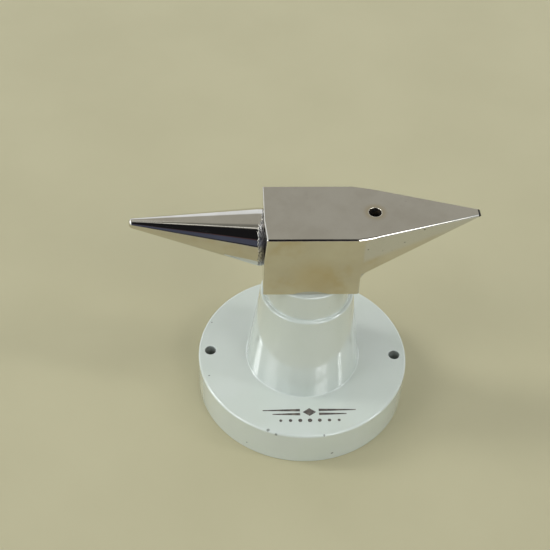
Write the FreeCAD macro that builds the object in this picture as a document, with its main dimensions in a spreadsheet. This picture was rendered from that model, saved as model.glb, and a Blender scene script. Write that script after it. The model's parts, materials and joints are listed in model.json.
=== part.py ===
import FreeCAD, Part
import os
import Sketcher

# A small double-horn bench anvil: a polished steel head clamped to a painted round pedestal by one
# screw from below. Millimetres, +Z up. The origin is the centre of the pedestal's underside, and
# +X runs along the head towards the flat horn.

document = FreeCAD.newDocument("bench_anvil")

# ---- Driving sizes ----------------------------------------------------------------------------

SIZES = {
    # pedestal, turned and drilled
    "base_diameter": 76.0,
    "disc_thickness": 14.7,
    "disc_rim_round": 0.8,
    "disc_foot_round": 0.4,
    "stem_foot_diameter": 41.0,
    "stem_foot_round": 0.5,
    "base_height": 59.6,
    "neck_height": 10.7,
    "neck_foot_diameter": 29.6,
    "neck_top_diameter": 29.4,
    "neck_foot_round": 0.3,
    "neck_top_round": 0.5,
    "shoulder_step": 1.25,
    "shoulder_round": 0.8,
    "clamp_web": 12.0,
    # bench screw holes, on a line a little off the head's own line
    "bench_hole_diameter": 4.0,
    "bench_hole_inset": 4.3,
    "bench_hole_turn": -2.6,
    # head: block and flat horn
    "block_length": 31.7,
    "block_width": 25.8,
    "block_height": 25.3,
    "flat_horn_reach": 39.1,
    "flat_horn_depth": 16.2,
    "flat_horn_round": 2.0,
    "flat_horn_tip_width": 2.8,
    "flat_horn_tip_depth": 0.8,
    # head: pritchel hole through the flat horn
    "pritchel_diameter": 4.2,
    "pritchel_setback": 4.5,
    "pritchel_bevel": 0.3,
    # head: round horn and the short collar at its root
    "collar_length": 1.6,
    "round_horn_diameter": 19.2,
    "round_horn_reach": 43.6,
    "round_horn_drop": 1.2,
    "round_horn_tip_diameter": 2.9,
    "round_horn_tip_drop": 2.9,
    "round_horn_tip_round": 1.0,
    # clamp screw and what is under its head
    "thread_diameter": 8.0,
    "screw_length": 30.0,
    "screw_head_diameter": 13.0,
    "screw_head_height": 8.0,
    "screw_head_bevel": 0.8,
    "screw_tip_bevel": 1.0,
    "key_across_flats": 6.0,
    "key_depth": 4.0,
    "flat_washer_diameter": 16.0,
    "flat_washer_thickness": 1.6,
    "lock_washer_diameter": 14.8,
    "lock_washer_thickness": 2.0,
    "lock_washer_gap": 1.2,
    "lock_washer_slant": 0.8,
    # clearances, each on the radius unless it says otherwise
    "screw_hole_clearance": 0.5,
    "washer_bore_clearance": 0.2,
    "screw_well_clearance": 1.0,
    "tap_runout": 4.0,
    # how far a cutting outline runs past the metal
    "cut_overrun": 5.0,
}

# Sizes worked out from the driving ones.
DERIVED = {
    "shoulder_height": "=base_height - neck_height",
    "shoulder_diameter": "=neck_foot_diameter + 2 * shoulder_step",
    "screw_hole_diameter": "=thread_diameter + 2 * screw_hole_clearance",
    "screw_well_diameter": "=flat_washer_diameter + 2 * screw_well_clearance",
    "screw_well_top": "=base_height - clamp_web",
    "washer_bore_diameter": "=thread_diameter + 2 * washer_bore_clearance",
    "lock_washer_top": "=screw_well_top - flat_washer_thickness",
    "screw_seat": "=lock_washer_top - lock_washer_thickness",
    "thread_reach": "=screw_length - (base_height - screw_seat)",
    "tapped_depth": "=thread_reach + tap_runout",
    "bench_hole_radius": "=base_diameter / 2 - bench_hole_inset",
    "round_horn_axis": "=block_height - round_horn_drop - round_horn_diameter / 2",
    "round_horn_tip_axis": "=block_height - round_horn_tip_drop - round_horn_tip_diameter / 2",
    "pritchel_place": "=block_length / 2 + pritchel_setback",
    "flat_horn_end": "=block_length / 2 + flat_horn_reach",
    "collar_face": "=-block_length / 2 - collar_length",
    "round_horn_end": "=-block_length / 2 - round_horn_reach",
}

sheet = document.addObject("Spreadsheet::Sheet", "Sizes")
for row, (alias, content) in enumerate(list(SIZES.items()) + list(DERIVED.items()), start=1):
    sheet.set(f"A{row}", alias)
    sheet.set(f"B{row}", str(content))
    sheet.setAlias(f"B{row}", alias)
document.recompute()


def size(alias):
    """The sheet's present value for one alias."""
    return float(sheet.get(alias))


# ---- Sketch and feature helpers ---------------------------------------------------------------

ACROSS_AXIS = -1
UP_AXIS = -2
START = 1
CENTRE = 3


def new_body(name, height="0"):
    """An empty body whose frame stands at the given height, an expression."""
    body = document.addObject("PartDesign::Body", name)
    body.Label = name
    body.setExpression("Placement.Base.z", height)
    return body


def new_sketch(body, name, plane, offset="0"):
    """A sketch on one of the body's own origin planes, moved along the plane's normal by offset."""
    sketch = body.newObject("Sketcher::SketchObject", name)
    support = [feature for feature in body.Origin.OriginFeatures if feature.Role == plane][0]
    sketch.AttachmentSupport = (support, [""])
    sketch.MapMode = "FlatFace"
    sketch.setExpression("AttachmentOffset.Base.z", offset)
    return sketch


def pin_point(sketch, geometry, point, across, up):
    """Hold a sketch point at two expressions, across and up from the sketch's origin."""
    if across == "0":
        sketch.addConstraint(Sketcher.Constraint("PointOnObject", geometry, point, UP_AXIS))
    else:
        start = sketch.evalExpression(across)
        index = sketch.addConstraint(Sketcher.Constraint("DistanceX", geometry, point, float(start)))
        sketch.setExpression(f"Constraints[{index}]", across)
    if up == "0":
        sketch.addConstraint(Sketcher.Constraint("PointOnObject", geometry, point, ACROSS_AXIS))
    else:
        start = sketch.evalExpression(up)
        index = sketch.addConstraint(Sketcher.Constraint("DistanceY", geometry, point, float(start)))
        sketch.setExpression(f"Constraints[{index}]", up)


def add_outline(sketch, corners):
    """Draw a closed outline of straight lines through corners, each a pair of expressions."""
    places = []
    for across, up in corners:
        places.append(FreeCAD.Vector(sketch.evalExpression(across), sketch.evalExpression(up), 0))
    following = places[1:] + places[:1]
    lines = [sketch.addGeometry(Part.LineSegment(a, b)) for a, b in zip(places, following)]
    for line, next_line in zip(lines, lines[1:] + lines[:1]):
        sketch.addConstraint(Sketcher.Constraint("Coincident", line, 2, next_line, START))
    for line, (across, up) in zip(lines, corners):
        pin_point(sketch, line, START, across, up)


def add_circle(sketch, diameter, across="0", up="0"):
    """Draw a circle; its diameter and centre are expressions."""
    centre = FreeCAD.Vector(sketch.evalExpression(across), sketch.evalExpression(up), 0)
    radius = float(sketch.evalExpression(diameter)) / 2
    circle = sketch.addGeometry(Part.Circle(centre, FreeCAD.Vector(0, 0, 1), radius))
    pin_point(sketch, circle, CENTRE, across, up)
    index = sketch.addConstraint(Sketcher.Constraint("Diameter", circle, 2 * radius))
    sketch.setExpression(f"Constraints[{index}]", diameter)


def revolve(body, name, sketch):
    """A full turn of the sketch about its own upright axis."""
    feature = body.newObject("PartDesign::Revolution", name)
    feature.Profile = sketch
    feature.ReferenceAxis = (sketch, ["V_Axis"])
    feature.Angle = 360
    document.recompute()
    return feature


def pad(body, name, sketch, length):
    """Raise the sketch along its normal by length, an expression."""
    feature = body.newObject("PartDesign::Pad", name)
    feature.Profile = sketch
    feature.setExpression("Length", length)
    document.recompute()
    return feature


def pocket(body, name, sketch, length=None, reverse=False, midplane=False):
    """Cut the sketch out of the body, right through it or to a length, and check that it cut."""
    before = body.Tip.Shape.Volume
    feature = body.newObject("PartDesign::Pocket", name)
    feature.Profile = sketch
    feature.Midplane = midplane
    feature.Reversed = reverse
    if length is None:
        feature.Type = "ThroughAll"
    else:
        feature.setExpression("Length", length)
    document.recompute()
    if not feature.Shape.Volume < before - 1e-6:
        raise RuntimeError(f"{name} cut nothing")
    return feature


def dress(body, kind, name, edges, amount):
    """Round or bevel the edges that the test picks; amount is an expression."""
    base = body.Tip
    names = [f"Edge{index}" for index, edge in enumerate(base.Shape.Edges, start=1) if edges(edge)]
    if not names:
        raise RuntimeError(f"{name} found no edge")
    feature = body.newObject(f"PartDesign::{kind}", name)
    feature.Base = (base, names)
    feature.setExpression("Radius" if kind == "Fillet" else "Size", amount)
    document.recompute()
    return feature


def ring_at(radius, height):
    """Picks the full circle about the body's own upright axis with this radius and height."""
    def test(edge):
        if not isinstance(edge.Curve, Part.Circle):
            return False
        centre = edge.Curve.Center
        off_axis = abs(centre.x) + abs(centre.y) + abs(centre.z - height)
        return off_axis < 1e-4 and abs(edge.Curve.Radius - radius) < 1e-4
    return test


def edge_middle_at(place):
    """Picks the edge whose centre of mass is at place."""
    def test(edge):
        return edge.CenterOfMass.distanceToPoint(place) < 1e-3
    return test


# ---- Pedestal: disc, tapered stem, shoulder and neck in one casting ---------------------------

pedestal = new_body("pedestal")
profile = new_sketch(pedestal, "pedestal_profile", "XZ_Plane")
add_outline(profile, [
    ("Sizes.screw_well_diameter / 2", "0"),
    ("Sizes.base_diameter / 2", "0"),
    ("Sizes.base_diameter / 2", "Sizes.disc_thickness"),
    ("Sizes.stem_foot_diameter / 2", "Sizes.disc_thickness"),
    ("Sizes.shoulder_diameter / 2", "Sizes.shoulder_height"),
    ("Sizes.neck_foot_diameter / 2", "Sizes.shoulder_height"),
    ("Sizes.neck_top_diameter / 2", "Sizes.base_height"),
    ("Sizes.screw_hole_diameter / 2", "Sizes.base_height"),
    ("Sizes.screw_hole_diameter / 2", "Sizes.screw_well_top"),
    ("Sizes.screw_well_diameter / 2", "Sizes.screw_well_top"),
])
revolve(pedestal, "pedestal_casting", profile)
for name, diameter, height, amount in [
    ("disc_rim", "base_diameter", size("disc_thickness"), "disc_rim_round"),
    ("disc_foot", "base_diameter", 0.0, "disc_foot_round"),
    ("stem_foot", "stem_foot_diameter", size("disc_thickness"), "stem_foot_round"),
    ("shoulder_edge", "shoulder_diameter", size("shoulder_height"), "shoulder_round"),
    ("neck_foot", "neck_foot_diameter", size("shoulder_height"), "neck_foot_round"),
    ("neck_top", "neck_top_diameter", size("base_height"), "neck_top_round"),
]:
    dress(pedestal, "Fillet", name, ring_at(size(diameter) / 2, height), f"Sizes.{amount}")

hole_sketch = new_sketch(pedestal, "bench_hole_outline", "XY_Plane")
add_circle(
    hole_sketch,
    "Sizes.bench_hole_diameter",
    "Sizes.bench_hole_radius * cos(Sizes.bench_hole_turn * 1 deg)",
    "Sizes.bench_hole_radius * sin(Sizes.bench_hole_turn * 1 deg)",
)
bench_hole = pocket(pedestal, "bench_hole", hole_sketch, reverse=True)
bench_holes = pedestal.newObject("PartDesign::PolarPattern", "bench_holes")
bench_holes.Originals = [bench_hole]
bench_holes.Axis = (hole_sketch, ["N_Axis"])
bench_holes.Angle = 360
bench_holes.Occurrences = 2
pedestal.Tip = bench_holes
document.recompute()

# ---- Head: one forging with a flat horn, a round horn, a pritchel hole and a tapped hole ------

head = new_body("anvil_head", "Sizes.base_height")
plan = new_sketch(head, "head_plan", "XY_Plane")
add_outline(plan, [
    ("-Sizes.block_length / 2", "-Sizes.block_width / 2"),
    ("Sizes.block_length / 2", "-Sizes.block_width / 2"),
    ("Sizes.flat_horn_end", "-Sizes.flat_horn_tip_width / 2"),
    ("Sizes.flat_horn_end", "Sizes.flat_horn_tip_width / 2"),
    ("Sizes.block_length / 2", "Sizes.block_width / 2"),
    ("-Sizes.block_length / 2", "Sizes.block_width / 2"),
])
pad(head, "block_and_flat_horn", plan, "Sizes.block_height")

underside = new_sketch(head, "flat_horn_underside", "XZ_Plane")
add_outline(underside, [
    ("Sizes.block_length / 2", "-Sizes.cut_overrun"),
    ("Sizes.flat_horn_end + Sizes.cut_overrun", "-Sizes.cut_overrun"),
    (
        "Sizes.flat_horn_end + Sizes.cut_overrun",
        "Sizes.block_height - Sizes.flat_horn_tip_depth",
    ),
    ("Sizes.flat_horn_end", "Sizes.block_height - Sizes.flat_horn_tip_depth"),
    ("Sizes.block_length / 2", "Sizes.block_height - Sizes.flat_horn_depth"),
])
pocket(head, "flat_horn_relief", underside, midplane=True)
horn_root = FreeCAD.Vector(
    size("block_length") / 2, 0, size("block_height") - size("flat_horn_depth")
)
dress(head, "Fillet", "flat_horn_root", edge_middle_at(horn_root), "Sizes.flat_horn_round")

collar_outline = new_sketch(head, "collar_outline", "YZ_Plane", "Sizes.collar_face")
add_circle(collar_outline, "Sizes.round_horn_diameter", up="Sizes.round_horn_axis")
pad(head, "collar", collar_outline, "Sizes.collar_length")

tip_outline = new_sketch(head, "round_horn_tip", "YZ_Plane", "Sizes.round_horn_end")
add_circle(tip_outline, "Sizes.round_horn_tip_diameter", up="Sizes.round_horn_tip_axis")
round_horn = head.newObject("PartDesign::AdditiveLoft", "round_horn")
round_horn.Profile = collar_outline
round_horn.Sections = [tip_outline]
round_horn.Ruled = True
document.recompute()
tip_centre = FreeCAD.Vector(size("round_horn_end"), 0, size("round_horn_tip_axis"))
dress(head, "Fillet", "round_horn_end", edge_middle_at(tip_centre), "Sizes.round_horn_tip_round")

pritchel_outline = new_sketch(head, "pritchel_outline", "XY_Plane")
add_circle(pritchel_outline, "Sizes.pritchel_diameter", "Sizes.pritchel_place")
pocket(head, "pritchel_hole", pritchel_outline, reverse=True)
pritchel_mouth = FreeCAD.Vector(size("pritchel_place"), 0, size("block_height"))
dress(head, "Chamfer", "pritchel_edge", edge_middle_at(pritchel_mouth), "Sizes.pritchel_bevel")

tapped_outline = new_sketch(head, "tapped_outline", "XY_Plane")
add_circle(tapped_outline, "Sizes.thread_diameter")
pocket(head, "tapped_hole", tapped_outline, "Sizes.tapped_depth", reverse=True)

# ---- Clamp screw: socket head below, thread up into the head ----------------------------------

screw = new_body("clamp_screw", "Sizes.screw_seat")
screw_profile = new_sketch(screw, "screw_profile", "XZ_Plane")
add_outline(screw_profile, [
    ("0", "-Sizes.screw_head_height"),
    ("Sizes.screw_head_diameter / 2 - Sizes.screw_head_bevel", "-Sizes.screw_head_height"),
    ("Sizes.screw_head_diameter / 2", "-Sizes.screw_head_height + Sizes.screw_head_bevel"),
    ("Sizes.screw_head_diameter / 2", "0"),
    ("Sizes.thread_diameter / 2", "0"),
    ("Sizes.thread_diameter / 2", "Sizes.screw_length - Sizes.screw_tip_bevel"),
    ("Sizes.thread_diameter / 2 - Sizes.screw_tip_bevel", "Sizes.screw_length"),
    ("0", "Sizes.screw_length"),
])
revolve(screw, "screw_blank", screw_profile)
socket = new_sketch(screw, "key_outline", "XY_Plane", "-Sizes.screw_head_height")
corner = "Sizes.key_across_flats / sqrt(3)"
add_outline(socket, [
    (f"{corner} * cos({turn} deg)", f"{corner} * sin({turn} deg)") for turn in range(30, 390, 60)
])
pocket(screw, "key_socket", socket, "Sizes.key_depth", reverse=True)

# ---- Washers under the screw's head -----------------------------------------------------------

lock_washer = new_body("lock_washer", "Sizes.screw_seat")
ring = new_sketch(lock_washer, "lock_washer_ring", "XY_Plane")
add_circle(ring, "Sizes.lock_washer_diameter")
add_circle(ring, "Sizes.washer_bore_diameter")
pad(lock_washer, "lock_washer_blank", ring, "Sizes.lock_washer_thickness")
split = new_sketch(lock_washer, "lock_washer_split", "XZ_Plane")
add_outline(split, [
    ("-Sizes.lock_washer_gap / 2 - Sizes.lock_washer_slant", "-Sizes.lock_washer_slant"),
    ("Sizes.lock_washer_gap / 2 - Sizes.lock_washer_slant", "-Sizes.lock_washer_slant"),
    (
        "Sizes.lock_washer_gap / 2 + Sizes.lock_washer_slant",
        "Sizes.lock_washer_thickness + Sizes.lock_washer_slant",
    ),
    (
        "-Sizes.lock_washer_gap / 2 + Sizes.lock_washer_slant",
        "Sizes.lock_washer_thickness + Sizes.lock_washer_slant",
    ),
])
pocket(lock_washer, "lock_washer_cut", split, "Sizes.lock_washer_diameter")

flat_washer = new_body("flat_washer", "Sizes.lock_washer_top")
washer_ring = new_sketch(flat_washer, "flat_washer_ring", "XY_Plane")
add_circle(washer_ring, "Sizes.flat_washer_diameter")
add_circle(washer_ring, "Sizes.washer_bore_diameter")
pad(flat_washer, "flat_washer_blank", washer_ring, "Sizes.flat_washer_thickness")

# ---- Check and write --------------------------------------------------------------------------

document.recompute()
for item in document.Objects:
    if "Invalid" in item.State or "Error" in item.State:
        raise RuntimeError(f"{item.Label} failed: {item.State}")

os.makedirs("parts", exist_ok=True)
for body in [pedestal, head, screw, lock_washer, flat_washer]:
    shape = body.Shape
    if shape.isNull() or not shape.isValid() or len(shape.Solids) != 1:
        raise RuntimeError(f"{body.Label} is not one good solid")
    shape.exportStep(os.path.join("parts", f"{body.Label}.step"))
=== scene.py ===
import json
import math

import bmesh
import bpy
from mathutils import Matrix, Vector


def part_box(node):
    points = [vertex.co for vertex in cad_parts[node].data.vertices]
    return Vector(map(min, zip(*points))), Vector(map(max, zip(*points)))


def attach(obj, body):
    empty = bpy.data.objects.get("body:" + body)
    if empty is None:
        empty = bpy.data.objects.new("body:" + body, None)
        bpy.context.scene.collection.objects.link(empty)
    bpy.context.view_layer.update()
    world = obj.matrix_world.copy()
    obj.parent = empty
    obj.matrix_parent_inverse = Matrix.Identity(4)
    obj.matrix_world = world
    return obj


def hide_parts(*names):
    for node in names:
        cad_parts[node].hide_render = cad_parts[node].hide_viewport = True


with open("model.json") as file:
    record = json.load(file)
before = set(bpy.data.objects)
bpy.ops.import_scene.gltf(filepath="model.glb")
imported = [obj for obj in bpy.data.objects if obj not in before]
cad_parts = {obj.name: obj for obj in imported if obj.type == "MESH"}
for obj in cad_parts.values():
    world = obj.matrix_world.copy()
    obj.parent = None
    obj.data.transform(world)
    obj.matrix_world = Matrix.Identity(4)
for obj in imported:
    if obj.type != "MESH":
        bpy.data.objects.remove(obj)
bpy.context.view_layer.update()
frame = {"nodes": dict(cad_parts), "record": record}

MM = 0.001


# ---- Pedestal: the casting -----------------------------------------------------------------------
# One heavy casting, turned to shape: a thick disc, a tapered stem, a small shoulder and a neck. It
# is sprayed with pale grey-green gloss enamel. Two bench screw holes pass through the disc, and a
# stepped hole from below, left bare, takes the clamp screw.

low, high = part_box("pedestal")
DISC_RADIUS = high.x / MM
NECK_TOP = high.z / MM
DISC_TOP = 14.7
RIM_ROUND = 0.8
STEM_FOOT_RADIUS = 20.5
SHOULDER_RADIUS = 16.05
NECK_FOOT_RADIUS = 14.8
NECK_TOP_RADIUS = 14.7
NECK_HEIGHT = 10.7
SHOULDER_TOP = NECK_TOP - NECK_HEIGHT
WELL_RADIUS = 9.0
CLAMP_WEB = 12.0
WELL_TOP = NECK_TOP - CLAMP_WEB
SCREW_HOLE_RADIUS = 4.5
FOOT_ROUND = 0.4
STEM_FOOT_ROUND = 0.5
SHOULDER_ROUND = 0.8
NECK_FOOT_ROUND = 0.3
NECK_TOP_ROUND = 0.5
CASTING_SIDES = 192
DRILL_SIDES = 64
DRILL_OVERRUN = 5


def rounded_outline(corners):
    """Points of a closed outline; each corner is (across, up, round), in millimetres."""
    points = []
    count = len(corners)
    for index, (across, up, radius) in enumerate(corners):
        here = Vector((across, up))
        before = (Vector(corners[index - 1][:2]) - here).normalized()
        after = (Vector(corners[(index + 1) % count][:2]) - here).normalized()
        if not radius:
            points.append(here)
            continue
        half_angle = before.angle(after) / 2
        centre = here + (before + after).normalized() * radius / math.sin(half_angle)
        first = here + before * radius / math.tan(half_angle) - centre
        turn = first.angle_signed(here + after * radius / math.tan(half_angle) - centre)
        steps = 4 + round(radius * 4)
        for step in range(steps + 1):
            spin = Matrix.Rotation(-turn * step / steps, 2)
            points.append(centre + spin @ first)
    return points


def swept_rings(shape, rings, closed):
    """Joins rings of points, in millimetres, with four-sided faces; returns the made rings."""
    made = [[shape.verts.new(point * MM) for point in ring] for ring in rings]
    pairs = list(zip(made, made[1:]))
    if closed:
        pairs.append((made[-1], made[0]))
    for ring, next_ring in pairs:
        for first in range(len(ring)):
            second = (first + 1) % len(ring)
            shape.faces.new((ring[first], ring[second], next_ring[second], next_ring[first]))
    return made


def upright_ring(radius, height, sides, centre=(0, 0)):
    """A level circle of points about an upright axis, in millimetres."""
    ring = []
    for side in range(sides):
        angle = 2 * math.pi * side / sides
        across = centre[0] + radius * math.cos(angle)
        along = centre[1] + radius * math.sin(angle)
        ring.append(Vector((across, along, height)))
    return ring


def finished_mesh(name, shape):
    """Turns a bmesh into an object with all its faces smooth and facing outwards."""
    bmesh.ops.recalc_face_normals(shape, faces=shape.faces)
    mesh = bpy.data.meshes.new(name)
    shape.to_mesh(mesh)
    shape.free()
    for face in mesh.polygons:
        face.use_smooth = True
    piece = bpy.data.objects.new(name, mesh)
    bpy.context.scene.collection.objects.link(piece)
    return piece


def bake_modifiers(piece):
    """Makes the piece's modifiers part of its mesh."""
    graph = bpy.context.evaluated_depsgraph_get()
    graph.update()
    mesh = bpy.data.meshes.new_from_object(piece.evaluated_get(graph))
    piece.modifiers.clear()
    piece.data = mesh


def cut_with(piece, other, operation):
    """Joins the other mesh to the piece, or cuts it away, and keeps only the result."""
    change = piece.modifiers.new(operation.title(), "BOOLEAN")
    change.operation = operation
    change.solver = "EXACT"
    change.object = other
    bake_modifiers(piece)
    bpy.data.objects.remove(other)


def drill(piece, name, place, radius, bottom, top, flare=0.0):
    """Cuts a round hole right through from bottom to top at place; flare rounds its upper mouth.

    The drill runs past both ends by DRILL_OVERRUN.
    """
    outline = [(radius, bottom - DRILL_OVERRUN)]
    steps = 5
    if flare:
        for step in range(steps + 1):
            angle = math.pi / 2 * step / steps
            out = radius + flare * (1 - math.cos(angle))
            outline.append((out, top - flare * (1 - math.sin(angle))))
    outline.append((radius + flare, top + DRILL_OVERRUN))
    shape = bmesh.new()
    rings = [upright_ring(across, up, DRILL_SIDES, place) for across, up in outline]
    made = swept_rings(shape, rings, closed=False)
    shape.faces.new(made[0])
    shape.faces.new(made[-1])
    cut_with(piece, finished_mesh(name, shape), "DIFFERENCE")


def even_shading(piece, angle):
    """Keeps wide flat faces flat in the light, with crisp edges above the angle in degrees."""
    piece.data.set_sharp_from_angle(angle=math.radians(angle))
    weighted = piece.modifiers.new("Even shading", "WEIGHTED_NORMAL")
    weighted.mode = "FACE_AREA"
    weighted.keep_sharp = True


casting_shape = bmesh.new()
casting_outline = rounded_outline([
    (WELL_RADIUS, 0, FOOT_ROUND),
    (DISC_RADIUS, 0, FOOT_ROUND),
    (DISC_RADIUS, DISC_TOP, RIM_ROUND),
    (STEM_FOOT_RADIUS, DISC_TOP, STEM_FOOT_ROUND),
    (SHOULDER_RADIUS, SHOULDER_TOP, SHOULDER_ROUND),
    (NECK_FOOT_RADIUS, SHOULDER_TOP, NECK_FOOT_ROUND),
    (NECK_TOP_RADIUS, NECK_TOP, NECK_TOP_ROUND),
    (SCREW_HOLE_RADIUS, NECK_TOP, 0),
    (SCREW_HOLE_RADIUS, WELL_TOP, 0),
    (WELL_RADIUS, WELL_TOP, 0),
])
casting_rings = [upright_ring(point.x, point.y, CASTING_SIDES) for point in casting_outline]
swept_rings(casting_shape, casting_rings, closed=True)
casting = finished_mesh("pedestal_casting", casting_shape)


def mount_called(name):
    """The part's mount of that name, with its place and sizes."""
    return next(mount for mount in frame["record"]["mounts"] if mount["name"] == name)


bench_screws = mount_called("bench_screws")
BENCH_HOLE_RADIUS = bench_screws["dims"]["hole_r_mm"]
BENCH_HOLE_REACH = bench_screws["dims"]["pcd_mm"] / 2
BENCH_HOLE_FLARE = 0.22
BENCH_TURN = math.radians(-2.6)
bench_holes = [
    Vector((math.cos(turn), math.sin(turn))) * BENCH_HOLE_REACH
    for turn in (BENCH_TURN, BENCH_TURN + math.pi)
]
for place in bench_holes:
    drill(casting, "bench_drill", place, BENCH_HOLE_RADIUS, 0, DISC_TOP, BENCH_HOLE_FLARE)
even_shading(casting, 40)


def add_node(tree, kind, settings=None, **given):
    """Adds a shader node; each given input is a plain value or another node's output."""
    made = tree.nodes.new("ShaderNode" + kind)
    for name, value in (settings or {}).items():
        setattr(made, name, value)
    for name, value in given.items():
        socket = made.inputs[name.replace("_", " ")]
        if isinstance(value, bpy.types.NodeSocket):
            tree.links.new(value, socket)
        else:
            socket.default_value = value
    return made


def calculate(tree, operation, *given):
    """One step of arithmetic on numbers and outputs."""
    step = tree.nodes.new("ShaderNodeMath")
    step.operation = operation
    for socket, value in zip(step.inputs, given):
        if isinstance(value, bpy.types.NodeSocket):
            tree.links.new(value, socket)
        else:
            socket.default_value = value
    return step.outputs[0]


def steer(tree, operation, *given):
    """One step of arithmetic on places and directions."""
    step = tree.nodes.new("ShaderNodeVectorMath")
    step.operation = operation
    for socket, value in zip(step.inputs, given):
        if isinstance(value, bpy.types.NodeSocket):
            tree.links.new(value, socket)
        else:
            socket.default_value = value
    return step.outputs["Value" if operation in ("DISTANCE", "DOT_PRODUCT") else "Vector"]


def fade(tree, value, start, end):
    """0 where value is at start and 1 where it is at end, with a smooth turn between."""
    settings = {"interpolation_type": "SMOOTHSTEP"}
    ramp = add_node(tree, "MapRange", settings, Value=value, From_Min=start, From_Max=end)
    return ramp.outputs[0]


def blend_colour(tree, amount, under, over):
    """The under colour turning into the over colour as amount goes from 0 to 1."""
    mix = tree.nodes.new("ShaderNodeMix")
    mix.data_type = "RGBA"
    for name, value in (("Factor", amount), ("A", under), ("B", over)):
        if isinstance(value, bpy.types.NodeSocket):
            tree.links.new(value, mix.inputs[name])
        else:
            mix.inputs[name].default_value = value if name == "Factor" else (*value, 1)
    return mix.outputs["Result"]


def spot_place(tree):
    """Where on the piece this spot is, in millimetres."""
    spot = add_node(tree, "TexCoord").outputs["Object"]
    return steer(tree, "MULTIPLY", spot, (1 / MM, 1 / MM, 1 / MM))


def start_effect(name, inputs, outputs):
    """An empty node group for a finish; returns its tree, its inputs and its outputs."""
    tree = bpy.data.node_groups.new(name, "ShaderNodeTree")
    for label, start in inputs.items():
        kind = "NodeSocketVector" if isinstance(start, tuple) else "NodeSocketFloat"
        socket = tree.interface.new_socket(name=label, in_out="INPUT", socket_type=kind)
        socket.default_value = start
    for label in outputs:
        tree.interface.new_socket(name=label, in_out="OUTPUT", socket_type="NodeSocketFloat")
    given = tree.nodes.new("NodeGroupInput").outputs
    results = tree.nodes.new("NodeGroupOutput").inputs
    return tree, given, results


def use_effect(tree, effect, **given):
    """Places a finish's node group in a material with its own values; returns its outputs."""
    return add_node(tree, "Group", {"node_tree": effect}, **given).outputs


def start_finish(name):
    """A new material; returns it with its node tree and its shader."""
    finish = bpy.data.materials.new(name)
    finish.use_nodes = True
    tree = finish.node_tree
    return finish, tree, tree.nodes["Principled BSDF"]


def set_finish(tree, shader, fixed, changing):
    """Sets the shader's fixed values, and links the ones that change over the surface."""
    for name, value in fixed.items():
        shader.inputs[name].default_value = value
    for name, value in changing.items():
        tree.links.new(value, shader.inputs[name])


def raised(tree, height, depth):
    """The surface's direction once height stands proud of it, depth in millimetres."""
    return add_node(tree, "Bump", Height=height, Distance=depth * MM, Strength=1.0).outputs[0]


# Cloudy patches: slow changes of tone, from 0 to 1, Size millimetres across.
cloudy, given, results = start_effect(
    "cloudy_patches", {"Size": 10.0, "Detail": 3.0, "Low": 0.35, "High": 0.65}, ["Patches"])
near = steer(cloudy, "DIVIDE", spot_place(cloudy), given["Size"])
cloud = add_node(cloudy, "TexNoise", Vector=near, Scale=1.0, Detail=given["Detail"]).outputs[0]
cloudy.links.new(fade(cloudy, cloud, given["Low"], given["High"]), results["Patches"])

# Fine grain: an even, close texture, pulled out along one way by Pull.
grain_effect, given, results = start_effect(
    "fine_grain", {"Size": 1.0, "Pull": (1.0, 1.0, 1.0), "Detail": 2.0}, ["Grain"])
pulled = steer(grain_effect, "DIVIDE", spot_place(grain_effect), given["Pull"])
near = steer(grain_effect, "DIVIDE", pulled, given["Size"])
grain = add_node(grain_effect, "TexNoise", Vector=near, Scale=1.0, Detail=given["Detail"])
grain_effect.links.new(grain.outputs[0], results["Grain"])

# Worn edges: 1 on the outward edges, within Width, broken up into rubbed and whole stretches.
worn, given, results = start_effect(
    "worn_edges", {"Width": 0.6, "Breakup": 3.0, "Cover": 0.5}, ["Worn"])
width = calculate(worn, "MULTIPLY", given["Width"], MM)
inside = add_node(worn, "AmbientOcclusion", {"inside": True, "samples": 6}, Distance=width)
edge = fade(worn, inside.outputs["AO"], 0.92, 0.55)
near = steer(worn, "DIVIDE", spot_place(worn), given["Breakup"])
rub = add_node(worn, "TexNoise", Vector=near, Scale=1.0, Detail=5.0).outputs[0]
rubbed = fade(worn, calculate(worn, "ADD", rub, given["Cover"]), 0.8, 1.15)
worn.links.new(calculate(worn, "MULTIPLY", edge, rubbed), results["Worn"])

# Specks: small round marks, one to a cell of Size; Chance sets how many cells hold one.
specks, given, results = start_effect(
    "specks", {"Size": 4.0, "Reach": 0.2, "Chance": 0.2}, ["Specks"])
near = steer(specks, "DIVIDE", spot_place(specks), given["Size"])
cells = add_node(specks, "TexVoronoi", Vector=near, Scale=1.0)
pick = add_node(specks, "SeparateColor", Color=cells.outputs["Color"])
size_here = calculate(specks, "MULTIPLY", pick.outputs[1], given["Reach"])
spot = fade(specks, calculate(specks, "DIVIDE", cells.outputs["Distance"], size_here), 1.0, 0.6)
there = calculate(specks, "LESS_THAN", pick.outputs[0], given["Chance"])
specks.links.new(calculate(specks, "MULTIPLY", spot, there), results["Specks"])

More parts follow.
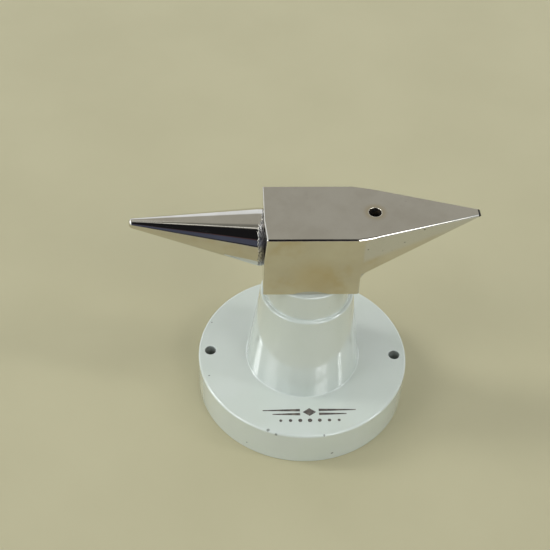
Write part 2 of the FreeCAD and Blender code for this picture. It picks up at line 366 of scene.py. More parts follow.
# Hairlines: fine scratches, drawn out along three slanting ways.
hairlines, given, results = start_effect(
    "hairlines", {"Spacing": 0.5, "Length": 14.0, "Cover": 0.2}, ["Lines"])
lines = None
for turn in (17, 74, 141):
    spun = add_node(hairlines, "VectorRotate", {"rotation_type": "EULER_XYZ"},
                    Vector=spot_place(hairlines), Rotation=(turn, turn / 3, math.radians(turn)))
    pull = add_node(hairlines, "CombineXYZ",
                    X=given["Length"], Y=given["Spacing"], Z=given["Length"])
    near = steer(hairlines, "DIVIDE", spun.outputs[0], pull.outputs[0])
    streak = add_node(hairlines, "TexNoise", Vector=near, Scale=1.0, Detail=1.0).outputs[0]
    off = calculate(hairlines, "ABSOLUTE", calculate(hairlines, "SUBTRACT", streak, 0.5))
    line = fade(hairlines, off, 0.012, 0.0)
    lines = line if lines is None else calculate(hairlines, "MAXIMUM", lines, line)
near = steer(hairlines, "DIVIDE", spot_place(hairlines), (9.0, 9.0, 9.0))
handled = add_node(hairlines, "TexNoise", Vector=near, Scale=1.0, Detail=2.0).outputs[0]
where = fade(hairlines, calculate(hairlines, "ADD", handled, given["Cover"]), 0.65, 0.95)
hairlines.links.new(calculate(hairlines, "MULTIPLY", lines, where), results["Lines"])

ENAMEL = (0.615, 0.660, 0.605)
ENAMEL_SHADE = (0.595, 0.645, 0.580)
ENAMEL_RUBBED_AND_HIGHLIGHT = (0.84, 0.87, 0.82)
PRIMER = (0.15, 0.16, 0.14)
enamel, tree, shader = start_finish("pale_enamel")
patches = use_effect(tree, cloudy, Size=22.0, Low=0.38, High=0.62)["Patches"]
colour = blend_colour(tree, patches, ENAMEL, ENAMEL_SHADE)
# Outward edges such as the shoulder, the neck's top and the disc's rim are lightened: partly real
# rubbed enamel, partly a painted highlight along those edges.
edges = use_effect(tree, worn, Width=0.7, Breakup=6.0, Cover=0.55)["Worn"]
colour = blend_colour(tree, calculate(tree, "MULTIPLY", edges, 0.5), colour, ENAMEL_RUBBED_AND_HIGHLIGHT)
dust = use_effect(tree, specks, Size=3.2, Reach=0.09, Chance=0.16)["Specks"]
colour = blend_colour(tree, calculate(tree, "MULTIPLY", dust, 0.22), colour, PRIMER)

# Knocks along the disc's rim: degrees round from the front, out from the middle, up, and size.
knocks = [
    (-21.6, 37.4, 14.6, 0.70),
    (-17.0, 38.0, 14.0, 0.62),
    (8.5, 37.7, 14.5, 0.50),
    (13.7, 38.0, 3.5, 0.60),
    (-33.5, 38.0, 3.3, 0.40),
    (-73.0, 35.7, 14.7, 0.40),
    (-114.5, 36.4, 14.7, 0.36),
    (151.0, 37.8, 14.3, 0.60),
    (102.0, 38.0, 6.0, 0.50),
]
jitter = use_effect(tree, grain_effect, Size=0.35, Detail=3.0)["Grain"]
chipped = None
for around_rim, out, up, reach in knocks:
    turn = math.radians(around_rim)
    place = (out * math.sin(turn), -out * math.cos(turn), up)
    apart = steer(tree, "DISTANCE", spot_place(tree), place)
    ragged = calculate(tree, "ADD", apart, calculate(tree, "MULTIPLY", jitter, reach))
    chip = fade(tree, ragged, reach * 1.5, reach * 1.1)
    chipped = chip if chipped is None else calculate(tree, "MAXIMUM", chipped, chip)
colour = blend_colour(tree, calculate(tree, "MULTIPLY", chipped, 0.8), colour, PRIMER)

lines = use_effect(tree, hairlines, Spacing=0.35, Length=12.0, Cover=0.12)["Lines"]
dulled = calculate(tree, "ADD", calculate(tree, "MULTIPLY", lines, 0.12), 0.16)
dulled = calculate(tree, "MULTIPLY_ADD", patches, 0.05, dulled)
dulled = calculate(tree, "MULTIPLY_ADD", chipped, 0.5, dulled)
peel = use_effect(tree, grain_effect, Size=1.1, Detail=1.0)["Grain"]
surface = calculate(tree, "MULTIPLY_ADD", chipped, -6.0, peel)
set_finish(tree, shader,
           {"Coat Weight": 1.0, "Coat Roughness": 0.03, "Coat IOR": 1.8},
           {"Base Color": colour, "Roughness": dulled, "Normal": raised(tree, surface, 0.012)})

IRON = (0.52, 0.56, 0.52)
IRON_RUST = (0.17, 0.12, 0.08)
bare_iron, tree, shader = start_finish("bare_iron")
patches = use_effect(tree, cloudy, Size=5.0, Low=0.45, High=0.7)["Patches"]
colour = blend_colour(tree, calculate(tree, "MULTIPLY", patches, 0.6), IRON, IRON_RUST)
turned = use_effect(tree, grain_effect, Size=0.25, Pull=(12.0, 12.0, 1.0), Detail=3.0)["Grain"]
dulled = calculate(tree, "MULTIPLY_ADD", patches, 0.25, 0.38)
set_finish(tree, shader, {"Metallic": 0.4},
           {"Base Color": colour, "Roughness": dulled, "Normal": raised(tree, turned, 0.03)})

# The iron is bare inside the well, the screw's hole and the bench holes.
HAIR = 0.02
WELL_HAIR = 0.05
casting.data.materials.clear()
for finish in (enamel, bare_iron):
    casting.data.materials.append(finish)
for face in casting.data.polygons:
    middle = face.center / MM
    from_axis = middle.xy.length
    in_well = from_axis < WELL_RADIUS + WELL_HAIR and middle.z < NECK_TOP - HAIR / 2
    in_bench_hole = abs(face.normal.z) < 0.3 and any(
        (middle.xy - hole).length < BENCH_HOLE_RADIUS + HAIR for hole in bench_holes)
    if in_well or in_bench_hole:
        face.material_index = 1
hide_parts("pedestal")
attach(casting, "root")


# ---- Print on the disc ---------------------------------------------------------------------------
# A plain ornament in dark grey-brown ink on the front of the disc: a diamond between tapered bars,
# with a row of dots below. It is pad printed, a thin film on the enamel.

PRINT_MIDDLE = Vector((1.0, -27.3))
PRINT_LIFT = 0.02
DIAMOND_HALF_WIDTH = 2.4
DIAMOND_HALF_HEIGHT = 1.7
BAR_START = 3.3
BAR_RISE = 0.85
LONG_BAR_END = 16.4
SHORT_BAR_END = 13.0
BAR_HALF_THICK = 0.55
BAR_HALF_THIN = 0.2
DOTS_EACH_SIDE = 3
DOT_SPACING = 3.4
DOT_ROW_DROP = 3.6
DOT_RADIUS = 0.78
DOT_SHRINK = 0.08
ink_shape = bmesh.new()


def print_patch(outline):
    """One closed patch of ink with its edge pressed into the enamel, in millimetres."""
    rings = [
        [Vector((*point, DISC_TOP + lift)) for point in outline]
        for lift in (-PRINT_LIFT, PRINT_LIFT)
    ]
    below, above = swept_rings(ink_shape, rings, closed=False)
    ink_shape.faces.new(below)
    ink_shape.faces.new(above)


print_patch([
    PRINT_MIDDLE + Vector((DIAMOND_HALF_WIDTH, 0)),
    PRINT_MIDDLE + Vector((0, DIAMOND_HALF_HEIGHT)),
    PRINT_MIDDLE - Vector((DIAMOND_HALF_WIDTH, 0)),
    PRINT_MIDDLE - Vector((0, DIAMOND_HALF_HEIGHT)),
])
for side in (-1, 1):
    for rise, bar_end in ((BAR_RISE, LONG_BAR_END), (-BAR_RISE, SHORT_BAR_END)):
        corners = (
            (BAR_START, rise - BAR_HALF_THICK),
            (bar_end, rise - BAR_HALF_THIN),
            (bar_end, rise + BAR_HALF_THIN),
            (BAR_START, rise + BAR_HALF_THICK),
        )
        print_patch([PRINT_MIDDLE + Vector((side * across, up)) for across, up in corners])
for step in range(-DOTS_EACH_SIDE, DOTS_EACH_SIDE + 1):
    middle = PRINT_MIDDLE + Vector((step * DOT_SPACING, -DOT_ROW_DROP))
    dot_radius = DOT_RADIUS - DOT_SHRINK * abs(step)
    turns = [math.radians(angle) for angle in range(0, 360, 15)]
    print_patch([
        middle + Vector((math.cos(turn), math.sin(turn))) * dot_radius for turn in turns
    ])
ink_film = finished_mesh("printed_ornament", ink_shape)
even_shading(ink_film, 30)

INK = (0.075, 0.062, 0.055)
INK_THIN = (0.16, 0.135, 0.115)
ink, tree, shader = start_finish("printing_ink")
patches = use_effect(tree, cloudy, Size=1.4, Detail=5.0, Low=0.42, High=0.66)["Patches"]
colour = blend_colour(tree, patches, INK, INK_THIN)
grain = use_effect(tree, grain_effect, Size=0.2, Detail=3.0)["Grain"]
rubbed = fade(tree, grain, 0.62, 0.72)
colour = blend_colour(tree, calculate(tree, "MULTIPLY", rubbed, 0.4), colour, ENAMEL)
dulled = calculate(tree, "MULTIPLY_ADD", grain, 0.2, 0.25)
set_finish(tree, shader, {},
           {"Base Color": colour, "Roughness": dulled, "Normal": raised(tree, grain, 0.01)})
ink_film.data.materials.append(ink)
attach(ink_film, "root")


# ---- Head: block, flat horn and round horn -------------------------------------------------------
# One steel forging, ground flat on its faces, with a wedge-shaped flat horn at one end and a round
# horn at the other. It is polished all over and bright plated, with edges only just broken. The
# collar at the round horn's root is rougher, because the polishing wheel doesn't reach it.

low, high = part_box("anvil_head")
BLOCK_END = 15.85
BLOCK_SIDE = high.y / MM
FACE = high.z / MM
BLOCK_FOOT = low.z / MM
FLAT_TIP = high.x / MM
FLAT_TIP_SIDE = 1.4
FLAT_TIP_THICK = 0.8
FLAT_TIP_FOOT = FACE - FLAT_TIP_THICK
FLAT_ROOT_THICK = 16.2
FLAT_ROOT_FOOT = FACE - FLAT_ROOT_THICK
FLAT_SLANT = math.atan2(BLOCK_SIDE - FLAT_TIP_SIDE, FLAT_TIP - BLOCK_END)
ROUND_TIP = low.x / MM
COLLAR_LENGTH = 1.6
COLLAR_END = -BLOCK_END - COLLAR_LENGTH

# The bend from the block's side to the flat horn's is ground by hand, and dies out going down.
BEND_DEPTH = 13.0
BEND_ROW_DEPTHS = (0.0, 0.9, 1.6, 2.4, 3.5, 5.5, 8.5)
GROUND_DEPTH = 3.3
FIRST_TURN_BACK = 2.25
SECOND_TURN_OUT = 4.15
LEAST_APART = 0.12

# A thin wedge is ground off the block's front corner above the round horn.
CORNER_GROUND_IN = 0.8
CORNER_GROUND_BACK = 3.6
CORNER_GROUND_DOWN = 10.0

# How far each kind of edge is broken.
WIDEST_BREAK = 2.0
FACE_BREAK = 0.48
PLAIN_BREAK = 0.3
ROOT_BREAK = 0.5
TIP_TOP_BREAK = 0.6
TIP_SIDE_BREAK = 0.15
TIP_FOOT_BREAK = 0.08


def bend_row(side, depth):
    """Points round the bend at one depth below the face, on the front (-1) or the back (1) side.

    The side turns twice: sharply where the hand grinding starts, and again, softly, further out.
    High up the two turns are well apart, and lower down they run together.
    """
    apart = max(LEAST_APART, max(0.0, 1 - depth / GROUND_DEPTH) ** 2)
    first = Vector((BLOCK_END - FIRST_TURN_BACK * apart, BLOCK_SIDE))
    second_out = BLOCK_END + SECOND_TURN_OUT * apart
    second = Vector((second_out, BLOCK_SIDE - (second_out - BLOCK_END) * math.tan(FLAT_SLANT)))
    between = (second - first).normalized()
    horn_way = Vector((math.cos(FLAT_SLANT), -math.sin(FLAT_SLANT)))
    sharp_reach = 0.15
    soft_reach = (second - first).length * 0.45
    row = []
    for corner, way_in, way_out, reach in (
        (first, Vector((1, 0)), between, sharp_reach),
        (second, between, horn_way, soft_reach),
    ):
        start = corner - way_in * reach
        end = corner + way_out * reach
        row += [start, start * 0.25 + corner * 0.5 + end * 0.25, end]
    return [Vector((point.x, side * point.y, FACE - depth)) for point in row]


def block_and_flat_horn():
    """The block with its flat horn, each edge marked with how far it is broken."""
    shape = bmesh.new()
    weight = shape.edges.layers.float.new("bevel_weight_edge")
    corners = {
        "left front foot": (-BLOCK_END, -BLOCK_SIDE, BLOCK_FOOT),
        "left back foot": (-BLOCK_END, BLOCK_SIDE, BLOCK_FOOT),
        "right front foot": (BLOCK_END, -BLOCK_SIDE, BLOCK_FOOT),
        "right back foot": (BLOCK_END, BLOCK_SIDE, BLOCK_FOOT),
        "left front": (-BLOCK_END + CORNER_GROUND_IN, -BLOCK_SIDE, FACE),
        "ground top": (-BLOCK_END, -CORNER_GROUND_BACK, FACE),
        "ground side": (-BLOCK_END, -BLOCK_SIDE, FACE - CORNER_GROUND_DOWN),
        "left back": (-BLOCK_END, BLOCK_SIDE, FACE),
        "root front": (BLOCK_END, -BLOCK_SIDE, FLAT_ROOT_FOOT),
        "root back": (BLOCK_END, BLOCK_SIDE, FLAT_ROOT_FOOT),
        "tip front": (FLAT_TIP, -FLAT_TIP_SIDE, FACE),
        "tip back": (FLAT_TIP, FLAT_TIP_SIDE, FACE),
        "tip front foot": (FLAT_TIP, -FLAT_TIP_SIDE, FLAT_TIP_FOOT),
        "tip back foot": (FLAT_TIP, FLAT_TIP_SIDE, FLAT_TIP_FOOT),
    }
    made = {name: shape.verts.new(Vector(place) * MM) for name, place in corners.items()}
    tops = {}
    for side, end in ((-1, "front"), (1, "back")):
        rows = [bend_row(side, depth) for depth in BEND_ROW_DEPTHS]
        columns = [[shape.verts.new(point * MM) for point in column] for column in zip(*rows)]
        tops[end] = [column[0] for column in columns]
        foot = shape.verts.new(Vector((BLOCK_END, side * BLOCK_SIDE, FACE - BEND_DEPTH)) * MM)
        for column, next_column in zip(columns, columns[1:]):
            for row in range(len(column) - 1):
                lower = row + 1
                shape.faces.new((column[row], column[lower], next_column[lower], next_column[row]))
            shape.faces.new((column[-1], foot, next_column[-1]))
        block_corners = [
            made["left " + end],
            made["left " + end + " foot"],
            made["right " + end + " foot"],
            made["root " + end],
            foot,
        ]
        if end == "front":
            block_corners.insert(1, made["ground side"])
        shape.faces.new(block_corners + columns[0][::-1])
        horn_corners = [foot, made["root " + end], made["tip " + end + " foot"], made["tip " + end]]
        shape.faces.new(horn_corners + columns[-1])
    shape.faces.new(
        [made["left front"]] + tops["front"] + [made["tip front"], made["tip back"]]
        + tops["back"][::-1] + [made["left back"], made["ground top"]])
    for names in (
        ("left front foot", "left back foot", "right back foot", "right front foot"),
        ("left front foot", "ground side", "ground top", "left back", "left back foot"),
        ("ground side", "left front", "ground top"),
        ("right front foot", "right back foot", "root back", "root front"),
        ("root front", "root back", "tip back foot", "tip front foot"),
        ("tip front", "tip front foot", "tip back foot", "tip back"),
    ):
        shape.faces.new([made[name] for name in names])
    broken = {
        ("ground top", "left back"): PLAIN_BREAK,
        ("left front", "ground top"): PLAIN_BREAK,
        ("left front foot", "ground side"): PLAIN_BREAK,
        ("ground side", "left front"): PLAIN_BREAK,
        ("left back foot", "left back"): PLAIN_BREAK,
        ("right front foot", "root front"): ROOT_BREAK,
        ("right back foot", "root back"): ROOT_BREAK,
        ("root front", "root back"): WIDEST_BREAK,
        ("root front", "tip front foot"): PLAIN_BREAK,
        ("root back", "tip back foot"): PLAIN_BREAK,
        ("left front foot", "right front foot"): PLAIN_BREAK,
        ("left back foot", "right back foot"): PLAIN_BREAK,
        ("left front foot", "left back foot"): PLAIN_BREAK,
        ("right front foot", "right back foot"): PLAIN_BREAK,
        ("tip front", "tip back"): TIP_TOP_BREAK,
        ("tip front", "tip front foot"): TIP_SIDE_BREAK,
        ("tip back", "tip back foot"): TIP_SIDE_BREAK,
        ("tip front foot", "tip back foot"): TIP_FOOT_BREAK,
    }
    for (first, second), amount in broken.items():
        shape.edges.get((made[first], made[second]))[weight] = amount / WIDEST_BREAK
    for end, bend_tops in tops.items():
        face_edge = [made["left " + end]] + bend_tops + [made["tip " + end]]
        for pair in zip(face_edge, face_edge[1:]):
            shape.edges.get(pair)[weight] = FACE_BREAK / WIDEST_BREAK
    piece = finished_mesh("anvil_head_steel", shape)
    soften = piece.modifiers.new("Broken edges", "BEVEL")
    soften.limit_method = "WEIGHT"
    soften.width = WIDEST_BREAK * MM
    soften.segments = 4
    soften.profile = 0.32
    soften.use_clamp_overlap = False
    bake_modifiers(piece)
    return piece


def round_horn():
    """The round horn: a short straight collar, then a taper that rises to a blunt rounded tip."""
    root_radius = 9.6
    root_drop = 1.2
    tip_radius = 1.45
    tip_drop = 2.9
    tip_round = 1.0
    lip = 0.04
    groove = 0.3
    buried = 3
    root_height = FACE - root_drop - root_radius
    tip_height = FACE - tip_drop - tip_radius
    length = COLLAR_END - ROUND_TIP
    slope = (root_radius - tip_radius) / length
    rise = (tip_height - root_height) / length
    collar_outline = [
        (-BLOCK_END + buried, root_radius - groove),
        (-BLOCK_END - 0.05, root_radius - groove),
        (-BLOCK_END - 0.2, root_radius - groove),
        (-BLOCK_END - groove, root_radius - lip),
        (COLLAR_END + lip, root_radius - lip),
        (COLLAR_END + lip / 2, root_radius - lip / 4),
        (COLLAR_END - lip / 2, root_radius),
    ]
    outline = [(along, root_height, radius) for along, radius in collar_outline]
    steps = 8
    for step in range(steps + 1):
        angle = math.pi / 2 * step / steps
        along = ROUND_TIP + tip_round * (1 - math.sin(angle))
        from_root = COLLAR_END - along
        radius = root_radius - slope * from_root - tip_round * (1 - math.cos(angle))
        outline.append((along, root_height + rise * from_root, radius))
    rings = []
    sides = 160
    angles = [2 * math.pi * side / sides for side in range(sides)]
    for along, height, radius in outline:
        rings.append([
            Vector((along, radius * math.cos(angle), height + radius * math.sin(angle)))
            for angle in angles
        ])
    shape = bmesh.new()
    made = swept_rings(shape, rings, closed=False)
    shape.faces.new(made[0])
    shape.faces.new(made[-1])
    return finished_mesh("round_horn_steel", shape)


head = block_and_flat_horn()
cut_with(head, round_horn(), "UNION")
pritchel = mount_called("pritchel_hole")
PRITCHEL_PLACE = Vector((pritchel["pos_m"][0] / MM, 0))
PRITCHEL_RADIUS = pritchel["dims"]["r_mm"]
PRITCHEL_FLARE = 0.2
drill(head, "pritchel_drill", PRITCHEL_PLACE, PRITCHEL_RADIUS, BLOCK_FOOT, FACE, PRITCHEL_FLARE)

# The tapped hole is blind, so the drill stops short by its overrun.
TAPPED_RADIUS = 4.0
TAPPED_DEPTH = 13.4
TAPPED_TOP = BLOCK_FOOT + TAPPED_DEPTH
drill(head, "tapping_drill", (0, 0), TAPPED_RADIUS, BLOCK_FOOT, TAPPED_TOP - DRILL_OVERRUN)
even_shading(head, 25)

PLATE = (0.675, 0.645, 0.570)
PLATE_SHADE = (0.615, 0.580, 0.505)
PLATE_AMBER = (0.56, 0.46, 0.28)
PLATE_COOL = (0.66, 0.665, 0.69)
PLATE_THIN_AND_HIGHLIGHT = (0.95, 0.93, 0.87)
PIT = (0.10, 0.085, 0.06)
COLLAR_DULL = (0.42, 0.41, 0.42)
COLLAR_DARK = (0.085, 0.08, 0.08)
TIP_DARK_REFLECTION = (0.014, 0.012, 0.011)
plate, tree, shader = start_finish("bright_plate")
spot = spot_place(tree)
axes = add_node(tree, "SeparateXYZ", Vector=spot)
facing_way = add_node(tree, "NewGeometry").outputs["Normal"]
facing = add_node(tree, "SeparateXYZ", Vector=facing_way)
patches = use_effect(tree, cloudy, Size=13.0, Detail=4.0, Low=0.35, High=0.7)["Patches"]
colour = blend_colour(tree, patches, PLATE, PLATE_SHADE)
# Amber patches on the upright faces only: partly real tarnish, partly a painted reflection of the
# warm table those faces mirror.
stains_and_table_reflection = use_effect(tree, cloudy, Size=9.0, Detail=3.0, Low=0.5, High=0.78)["Patches"]
upright = fade(tree, facing.outputs["Z"], 0.6, 0.2)
stains_and_table_reflection = calculate(tree, "MULTIPLY", stains_and_table_reflection, upright)
colour = blend_colour(tree, calculate(tree, "MULTIPLY", stains_and_table_reflection, 0.6), colour, PLATE_AMBER)

# A painted reflection of the warm table: a warm patch low on the block's front face.
from_table_reflection = steer(tree, "DISTANCE", spot, (1.0, -BLOCK_SIDE, FACE - 17.0))
table_reflection = calculate(tree, "MULTIPLY", fade(tree, from_table_reflection, 11.0, 2.0), upright)
colour = blend_colour(tree, calculate(tree, "MULTIPLY", table_reflection, 0.5), colour, PLATE_AMBER)

# The flat horn's sides are only satin ground, and greyer than the block.
beyond_bend = fade(tree, facing.outputs["X"], 0.17, 0.27)
satin = calculate(tree, "MULTIPLY", beyond_bend, upright)
colour = blend_colour(tree, calculate(tree, "MULTIPLY", satin, 0.8), colour, PLATE_COOL)

# The collar is left mottled and ringed where the polishing wheel stops, less so on top. The
# block's own end face is clean.
past_block = fade(tree, axes.outputs["X"], -BLOCK_END + 0.3, -BLOCK_END)
low_front = steer(tree, "DOT_PRODUCT", facing_way, (0, -0.7, -0.7))
on_top = fade(tree, low_front, -0.1, -0.85)
ragged = use_effect(tree, grain_effect, Size=0.8, Detail=3.0)["Grain"]
wheel_reach = calculate(tree, "MULTIPLY_ADD", ragged, 1.7, axes.outputs["X"])
wheel_reach = calculate(tree, "MULTIPLY_ADD", on_top, -1.7, wheel_reach)
before_taper = fade(tree, wheel_reach, COLLAR_END + 0.50, COLLAR_END + 0.75)
off_end_face = fade(tree, facing.outputs["X"], -0.8, -0.5)
collar = calculate(tree, "MULTIPLY", past_block, before_taper)
collar = calculate(tree, "MULTIPLY", collar, off_end_face)

# A faint amber tint rings the pritchel hole, where oil from the bore has dried.
hole_mouth = (PRITCHEL_PLACE.x, 0, FACE)
from_hole = steer(tree, "DISTANCE", spot, hole_mouth)
tint = fade(tree, from_hole, PRITCHEL_RADIUS + 2.6, PRITCHEL_RADIUS)
colour = blend_colour(tree, calculate(tree, "MULTIPLY", tint, 0.6), colour, PLATE_AMBER)

# Outward edges lightened nearly to white: partly thin, worn plating, partly a painted highlight along
# the broken edges.
edges = use_effect(tree, worn, Width=0.5, Breakup=4.0, Cover=0.75)["Worn"]
colour = blend_colour(tree, calculate(tree, "MULTIPLY", edges, 0.9), colour, PLATE_THIN_AND_HIGHLIGHT)
pits = use_effect(tree, specks, Size=1.7, Reach=0.26, Chance=0.45)["Specks"]
pits_seen = calculate(tree, "MULTIPLY", pits, calculate(tree, "MULTIPLY_ADD", satin, 0.8, 0.06))
colour = blend_colour(tree, pits_seen, colour, PIT)

lines = use_effect(tree, hairlines, Spacing=0.22, Length=16.0, Cover=0.16)["Lines"]
mottle = use_effect(tree, grain_effect, Size=0.6, Pull=(0.6, 1.8, 1.8), Detail=4.0)["Grain"]
colour = blend_colour(tree, calculate(tree, "MULTIPLY", collar, 0.8), colour, COLLAR_DULL)
mottled = calculate(tree, "MULTIPLY", collar, fade(tree, mottle, 0.46, 0.62))
colour = blend_colour(tree, mottled, colour, COLLAR_DARK)
# Painted shade: the collar's low front beside the block is darkened where the block shades the joint.
block_shade = fade(tree, axes.outputs["X"], -BLOCK_END - 1.0, -BLOCK_END - 0.5)
block_shade = calculate(tree, "MULTIPLY", block_shade, collar)
block_shade = calculate(tree, "MULTIPLY", block_shade, fade(tree, low_front, -0.25, 0.15))
colour = blend_colour(tree, calculate(tree, "MULTIPLY", block_shade, 0.6), colour, COLLAR_DARK)

# The flat horn's very end is painted near black: a painted dark reflection on its end facet.
dark_tip = fade(tree, axes.outputs["X"], FLAT_TIP - 0.95, FLAT_TIP - 0.75)
colour = blend_colour(tree, dark_tip, colour, TIP_DARK_REFLECTION)
dulled = calculate(tree, "MULTIPLY_ADD", patches, 0.03, 0.045)
dulled = calculate(tree, "MULTIPLY_ADD", lines, 0.12, dulled)
dulled = calculate(tree, "MULTIPLY_ADD", satin, 0.14, dulled)
dulled = calculate(tree, "MULTIPLY_ADD", collar, 0.16, dulled)
ripple = use_effect(tree, grain_effect, Size=6.0, Detail=1.0)["Grain"]
uneven = calculate(tree, "MULTIPLY", mottle, calculate(tree, "MULTIPLY_ADD", collar, 5.0, 0.015))
surface = calculate(tree, "ADD", ripple, uneven)
surface = calculate(tree, "MULTIPLY_ADD", pits_seen, -0.8, surface)
surface = calculate(tree, "MULTIPLY_ADD", lines, -0.05, surface)
set_finish(tree, shader, {"Metallic": 1.0},
           {"Base Color": colour, "Roughness": dulled, "Normal": raised(tree, surface, 0.03)})

# The walls of the pritchel hole and the tapped hole are painted near black: painted shade down inside
# the holes.
BORE = (0.05, 0.045, 0.04)
BORE_BROWN = (0.09, 0.065, 0.04)
shaded_bore, tree, shader = start_finish("shaded_bore")
patches = use_effect(tree, cloudy, Size=1.5, Low=0.4, High=0.65)["Patches"]
colour = blend_colour(tree, patches, BORE, BORE_BROWN)
reamed = use_effect(tree, grain_effect, Size=0.2, Pull=(6.0, 6.0, 1.0), Detail=2.0)["Grain"]
dulled = calculate(tree, "MULTIPLY_ADD", patches, 0.2, 0.35)
set_finish(tree, shader, {"Metallic": 0.6},
           {"Base Color": colour, "Roughness": dulled, "Normal": raised(tree, reamed, 0.02)})

head.data.materials.clear()
for finish in (plate, shaded_bore):
    head.data.materials.append(finish)
for face in head.data.polygons:
    middle = face.center / MM
    in_pritchel = (middle.xy - PRITCHEL_PLACE).length < PRITCHEL_RADIUS + HAIR
    in_tapping = middle.xy.length < TAPPED_RADIUS + HAIR and middle.z < TAPPED_TOP
    if abs(face.normal.z) < 0.3 and (in_pritchel or in_tapping):
        face.material_index = 1
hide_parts("anvil_head")
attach(head, "root")


# ---- Clamp screw, lock washer and flat washer ----------------------------------------------------
# An M8 socket-head screw, blackened steel, holds the head down from below. A split spring washer
# and a plain washer, both zinc plated, spread its load under the web of the casting.

BLACKENED = (0.028, 0.029, 0.033)
BLACKENED_BROWN = (0.06, 0.045, 0.035)
BLACKENED_RUBBED = (0.20, 0.195, 0.19)
black_oxide, tree, shader = start_finish("black_oxide")
patches = use_effect(tree, cloudy, Size=3.0, Low=0.4, High=0.65)["Patches"]
edges = use_effect(tree, worn, Width=0.5, Breakup=1.5, Cover=0.6)["Worn"]
browned = calculate(tree, "MULTIPLY", patches, 0.3)
colour = blend_colour(tree, browned, BLACKENED, BLACKENED_BROWN)
colour = blend_colour(tree, edges, colour, BLACKENED_RUBBED)
grain = use_effect(tree, grain_effect, Size=0.15, Pull=(1.0, 1.0, 4.0), Detail=3.0)["Grain"]
dulled = calculate(tree, "MULTIPLY_ADD", patches, 0.15, 0.34)
set_finish(tree, shader, {"Metallic": 0.9},
           {"Base Color": colour, "Roughness": dulled, "Normal": raised(tree, grain, 0.015)})

ZINC = (0.58, 0.60, 0.62)
ZINC_DULL = (0.42, 0.44, 0.46)
ZINC_RUBBED = (0.70, 0.70, 0.69)
zinc, tree, shader = start_finish("zinc_plate")
patches = use_effect(tree, cloudy, Size=2.2, Detail=5.0, Low=0.35, High=0.65)["Patches"]
edges = use_effect(tree, worn, Width=0.4, Breakup=1.5, Cover=0.5)["Worn"]
colour = blend_colour(tree, patches, ZINC, ZINC_DULL)
colour = blend_colour(tree, edges, colour, ZINC_RUBBED)
lines = use_effect(tree, hairlines, Spacing=0.2, Length=5.0, Cover=0.3)["Lines"]
dulled = calculate(tree, "MULTIPLY_ADD", patches, 0.15, 0.26)
dulled = calculate(tree, "MULTIPLY_ADD", lines, 0.12, dulled)
grain = use_effect(tree, grain_effect, Size=0.3, Detail=3.0)["Grain"]
set_finish(tree, shader, {"Metallic": 1.0},
           {"Base Color": colour, "Roughness": dulled, "Normal": raised(tree, grain, 0.012)})

for name, finish in (("clamp_screw", black_oxide), ("lock_washer", zinc), ("flat_washer", zinc)):
    for holder in frame["nodes"][name].material_slots:
        holder.material = finish


# ---- Studio: floor, light and camera -------------------------------------------------------------
# A plain pale table in a workroom: a bright wall behind, a window at each side, a lamp in its shade
# at the front right, two thin ceiling lights, and the dark shape of whoever stands at the table.

FLOOR_HALF = 3.0
floor_shape = bmesh.new()
floor_shape.faces.new([
    floor_shape.verts.new((across * FLOOR_HALF, along * FLOOR_HALF, 0))
    for across, along in ((-1, -1), (1, -1), (1, 1), (-1, 1))
])
floor = finished_mesh("floor", floor_shape)
TABLE = (0.488, 0.450, 0.284)
TABLE_SHADE = (0.463, 0.426, 0.266)
floor_paint, tree, shader = start_finish("pale_floor")
patches = use_effect(tree, cloudy, Size=60.0, Detail=3.0, Low=0.3, High=0.7)["Patches"]
colour = blend_colour(tree, patches, TABLE, TABLE_SHADE)
set_finish(tree, shader, {"Roughness": 0.6}, {"Base Color": colour})
floor.data.materials.append(floor_paint)

studio = bpy.data.worlds.new("studio")
studio.use_nodes = True
bpy.context.scene.world = studio
tree = studio.node_tree
tree.nodes.clear()
sky = add_node(tree, "Background")
add_node(tree, "OutputWorld", Surface=sky.outputs[0])
parts = add_node(tree, "SeparateXYZ", Vector=add_node(tree, "TexCoord").outputs["Generated"])
elevation = calculate(tree, "DEGREES", calculate(tree, "ARCSINE", parts.outputs["Z"]))
towards_front = calculate(tree, "MULTIPLY", parts.outputs["Y"], -1)
around = calculate(tree, "DEGREES", calculate(tree, "ARCTAN2", parts.outputs["X"], towards_front))


def panel(centre_around, half_around, centre_up, half_up, edge):
    """A soft-edged oblong in the surroundings, in degrees: 1 inside and 0 outside."""
    mask = None
    for angle, centre, reach in (
        (around, centre_around, half_around),
        (elevation, centre_up, half_up),
    ):
        off = calculate(tree, "ABSOLUTE", calculate(tree, "SUBTRACT", angle, centre))
        inside = fade(tree, off, reach + edge, reach - edge)
        mask = inside if mask is None else calculate(tree, "MULTIPLY", mask, inside)
    return mask


ROOM = (0.22, 0.22, 0.205)
ROOM_BEHIND = (0.435, 0.43, 0.40)
ROOM_FRONT = (0.95, 1.03, 1.10)
HORIZON_BEHIND = (0.95, 1.00, 1.08)
VIEWER_DARK = (0.012, 0.012, 0.014)
VIEWER_RED = (0.09, 0.05, 0.055)
VIEWER_BLUE = (0.075, 0.085, 0.135)
WINDOW = (9.6, 9.85, 9.95)
RIGHT_WALL = (0.60, 0.63, 0.66)
CEILING_STRIP = (11.0, 11.2, 11.2)
CEILING_STRIP_DIM = (1.6, 1.62, 1.62)
LAMP_SHADE = (0.05, 0.05, 0.05)
LAMP = (7.0, 7.1, 7.2)
FILL = (3.9, 4.0, 4.1)
light = blend_colour(tree, fade(tree, parts.outputs["Y"], -0.05, 0.12), ROOM, ROOM_BEHIND)
behind = calculate(tree, "MULTIPLY", fade(tree, parts.outputs["Y"], 0.35, 0.7),
                   fade(tree, elevation, 36, 28))
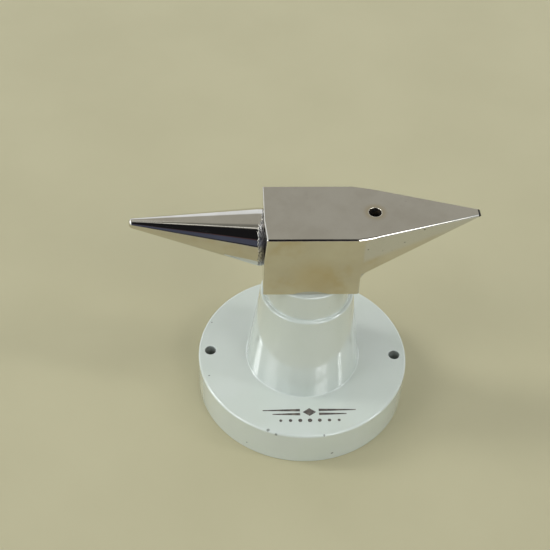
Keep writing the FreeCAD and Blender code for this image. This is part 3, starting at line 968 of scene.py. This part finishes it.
light = blend_colour(tree, behind, light, HORIZON_BEHIND)

# Each row is a light or a dark shape: its tone, then in degrees its middle and half its width round
# from the front, its middle and half its height up, and its soft edge. Later rows cover earlier ones.
for tone, *place in (
    (ROOM_FRONT, -14, 82, 12, 38, 10),
    (VIEWER_DARK, -20, 34, 61, 11, 1.5),
    (VIEWER_DARK, -5.5, 19.5, 26, 27, 1.5),
    (VIEWER_RED, -5.5, 19.5, 29, 1.4, 1),
    (VIEWER_BLUE, -5.5, 19.5, 15.5, 11.5, 1.5),
    (VIEWER_DARK, -5.5, 19.5, 2.0, 2.5, 1),
    (RIGHT_WALL, 112, 34, 50, 22, 8),
    (FILL, -66, 12, 38, 14, 4),
    (LAMP_SHADE, 34, 13, 40, 19, 3),
    (LAMP, 34, 12, 40, 6.5, 2.5),
    (WINDOW, -105, 7, 42, 14, 1.5),
    (WINDOW, 76, 3.5, 42, 15, 1.5),
    (CEILING_STRIP_DIM, -73, 74, 76, 1.0, 0.6),
    (CEILING_STRIP, 32, 32, 77, 1.6, 0.8),
):
    light = blend_colour(tree, panel(*place), light, tone)
tree.links.new(light, sky.inputs["Color"])

camera_data = bpy.data.cameras.new("camera")
camera_data.lens = 75.2
camera_data.sensor_width = 36
camera_data.clip_start = 0.01
camera = bpy.data.objects.new("camera", camera_data)
bpy.context.scene.collection.objects.link(camera)
VIEW_AROUND = math.radians(-4.09)
VIEW_UP = math.radians(46.07)
VIEW_ROLL = math.radians(2.56)
VIEW_DISTANCE = 391.85
aim = Vector((-11.3, 0, 55.8))
back = Vector((
    math.sin(VIEW_AROUND) * math.cos(VIEW_UP),
    -math.cos(VIEW_AROUND) * math.cos(VIEW_UP),
    math.sin(VIEW_UP),
))
camera.location = (aim + back * VIEW_DISTANCE) * MM
turn = back.to_track_quat("Z", "Y").to_matrix() @ Matrix.Rotation(VIEW_ROLL, 3, "Z")
camera.rotation_euler = turn.to_euler()
bpy.context.scene.camera = camera
bpy.context.scene.view_settings.view_transform = "Standard"
